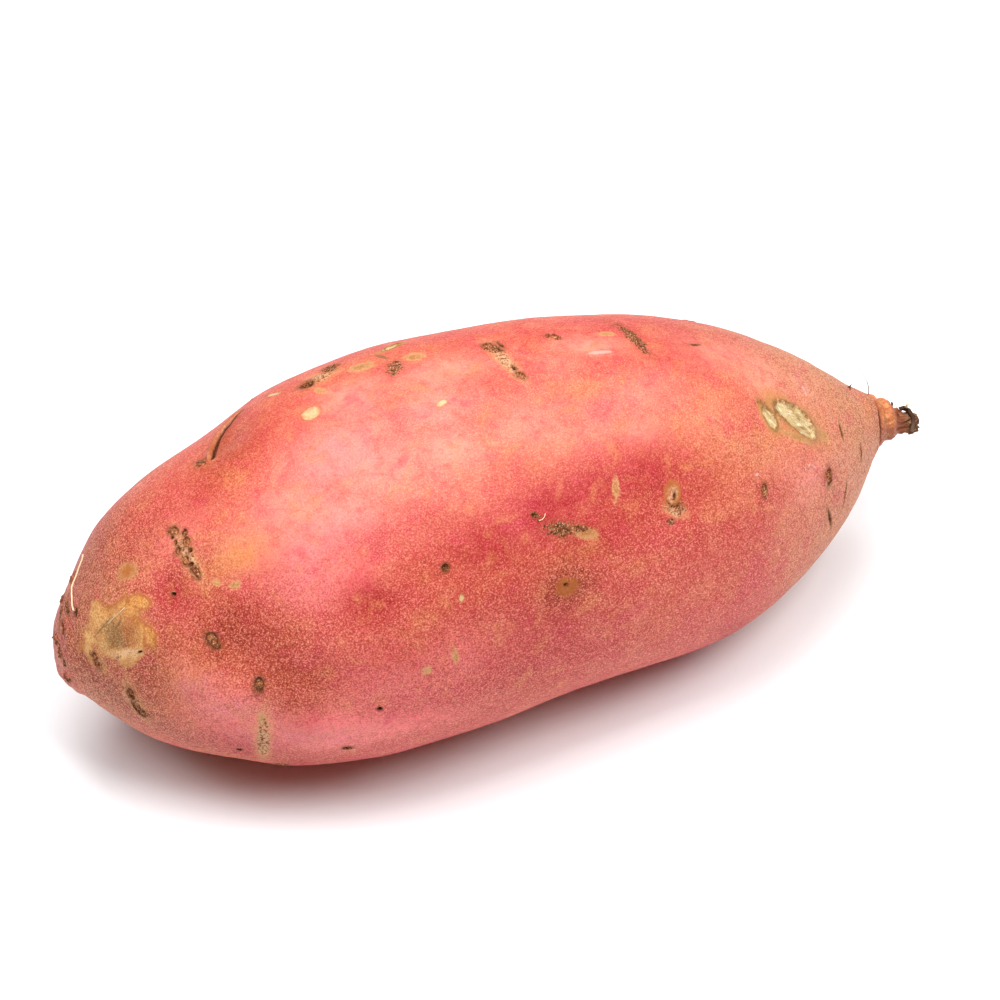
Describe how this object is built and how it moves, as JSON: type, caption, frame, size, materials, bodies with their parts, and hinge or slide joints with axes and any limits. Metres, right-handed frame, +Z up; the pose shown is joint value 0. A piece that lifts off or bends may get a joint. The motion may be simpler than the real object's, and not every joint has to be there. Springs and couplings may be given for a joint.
{
  "type": "sweet potato",
  "caption": "Whole raw sweet potato: a plump, slightly dented pink root with a blunt crown end and a collared, dried tap root stub, lying on a small flat spot.",
  "frame": {"origin": "middle of the object's box across the surface it rests on, at the rest spot's height", "axes": "+X along the root towards the tap root stub, +Z up from the surface it rests on"},
  "size_m": [0.17, 0.0708, 0.0702],
  "materials": {
    "skin": "thin pink-red root skin with tan corky scars, dark pits and a soft waxy sheen"
  },
  "bodies": {
    "root": {"sweet_potato": "skin"}
  },
  "joints": []
}
